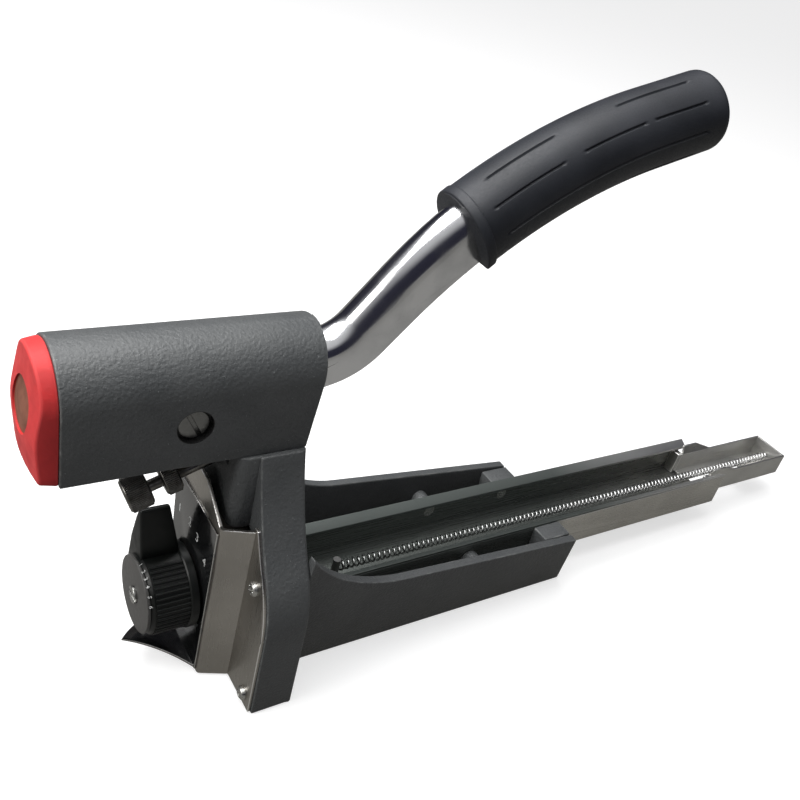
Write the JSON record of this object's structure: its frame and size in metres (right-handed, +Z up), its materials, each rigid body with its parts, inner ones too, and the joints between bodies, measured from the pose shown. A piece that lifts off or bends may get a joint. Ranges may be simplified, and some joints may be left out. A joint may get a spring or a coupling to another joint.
{
  "type": "carton stapler",
  "caption": "Hand carton stapler: cranked lever with rubber grip, cast head and foot, swinging clinchers, depth dial and an open rear magazine with a spring pusher.",
  "frame": {"origin": "on the foot plane, in the mid-plane, on the line where the driver pushes the staple out", "axes": "+X towards the magazine's tail, +Y to the right of someone facing along +X from the cap, +Z up from the foot"},
  "size_m": [0.503, 0.1, 0.279],
  "materials": {
    "grey_paint": "fine sand-textured grey enamel on a casting",
    "red_plastic": "moulded red plastic with a soft gloss",
    "chromed_steel": "bright chrome plate with handling scuffs",
    "black_rubber": "matt moulded rubber",
    "stainless_sheet": "pressed stainless sheet, lengthwise brushed",
    "black_enamel": "semi-gloss black enamel with white marks",
    "black_plastic": "moulded black plastic",
    "grey_disc": "dark grey satin disc",
    "dark_nickel": "dark nickel plate",
    "zinc_steel": "bright zinc plate",
    "hard_steel": "hardened tool steel, lightly oiled",
    "spring_wire": "bright drawn spring wire",
    "bearing_bronze": "plain sintered bronze"
  },
  "bodies": {
    "frame": {"head_housing": "grey_paint", "end_cap": "red_plastic", "leg_housing": "grey_paint", "left_wing": "grey_paint", "right_wing": "grey_paint", "front_cover": "stainless_sheet", "scale_plate": "black_enamel", "cover_screws": "zinc_steel", "magazine_channel": "stainless_sheet", "magazine_rails": "stainless_sheet", "magazine_screws": "zinc_steel", "guide_plate": "hard_steel", "pivot_pin": "dark_nickel", "pivot_nut": "dark_nickel", "clincher_pins": "hard_steel", "spring_anchor": "hard_steel", "return_spring": "spring_wire", "head_bolts": "zinc_steel", "wing_bolts": "zinc_steel", "spring_post": "hard_steel", "pusher_spring": "spring_wire"},
    "handle": {"lever": "chromed_steel", "grip": "black_rubber", "pivot_bush": "bearing_bronze", "spring_pin": "hard_steel"},
    "driver": {"driver_carrier": "hard_steel", "driver_blade": "hard_steel", "blade_rivets": "hard_steel", "drive_pin": "hard_steel", "cam_plate": "hard_steel"},
    "left_claw": {"left_clincher": "hard_steel"},
    "right_claw": {"right_clincher": "hard_steel"},
    "dial": {"depth_knob": "black_plastic", "knob_face": "grey_disc", "knob_screw": "zinc_steel", "knob_spindle": "hard_steel", "stop_cam": "hard_steel"},
    "stop": {"stop_screw": "dark_nickel"},
    "nut": {"lock_nut": "dark_nickel"},
    "pusher": {"pusher_slide": "stainless_sheet", "pusher_head": "stainless_sheet"}
  },
  "joints": [
    {"name": "handle_swing", "type": "hinge", "parent": "frame", "child": "handle", "pos_m": [-0.04, 0, 0.1417], "axis": [0, 1, 0], "range_deg": [0, 44], "stiffness_Nm_per_rad": 3, "springref_deg": -28.65, "deforming": ["return_spring"]},
    {"name": "driver_slide", "type": "slide", "parent": "frame", "child": "driver", "axis": [0, 0, -1], "range_m": [0, 0.0324]},
    {"name": "left_clinch", "type": "hinge", "parent": "frame", "child": "left_claw", "pos_m": [-0.007, -0.018, 0.03], "axis": [1, 0, 0], "range_deg": [0, 55]},
    {"name": "right_clinch", "type": "hinge", "parent": "frame", "child": "right_claw", "pos_m": [-0.007, 0.018, 0.03], "axis": [-1, 0, 0], "range_deg": [0, 55]},
    {"name": "dial_turn", "type": "hinge", "parent": "frame", "child": "dial", "pos_m": [-0.04, 0, 0.04], "axis": [1, 0, 0], "range_deg": [-50, 50]},
    {"name": "stop_turn", "type": "hinge", "parent": "frame", "child": "stop", "pos_m": [-0.053, 0, 0.0985], "axis": [0.9397, 0, 0.342], "range_deg": [-360, 360]},
    {"name": "nut_turn", "type": "hinge", "parent": "frame", "child": "nut", "pos_m": [-0.053, 0, 0.0985], "axis": [0.9397, 0, 0.342], "range_deg": [-360, 360]},
    {"name": "pusher_travel", "type": "slide", "parent": "frame", "child": "pusher", "axis": [-1, 0, 0], "range_m": [0, 0.307], "deforming": ["pusher_spring"]}
  ],
  "couplings": [
    {"joint": "driver_slide", "follows": "handle_swing", "m_per_rad": 0.04218},
    {"joint": "left_clinch", "follows": "handle_swing", "ratio": 1.2499},
    {"joint": "right_clinch", "follows": "handle_swing", "ratio": 1.2499}
  ]
}
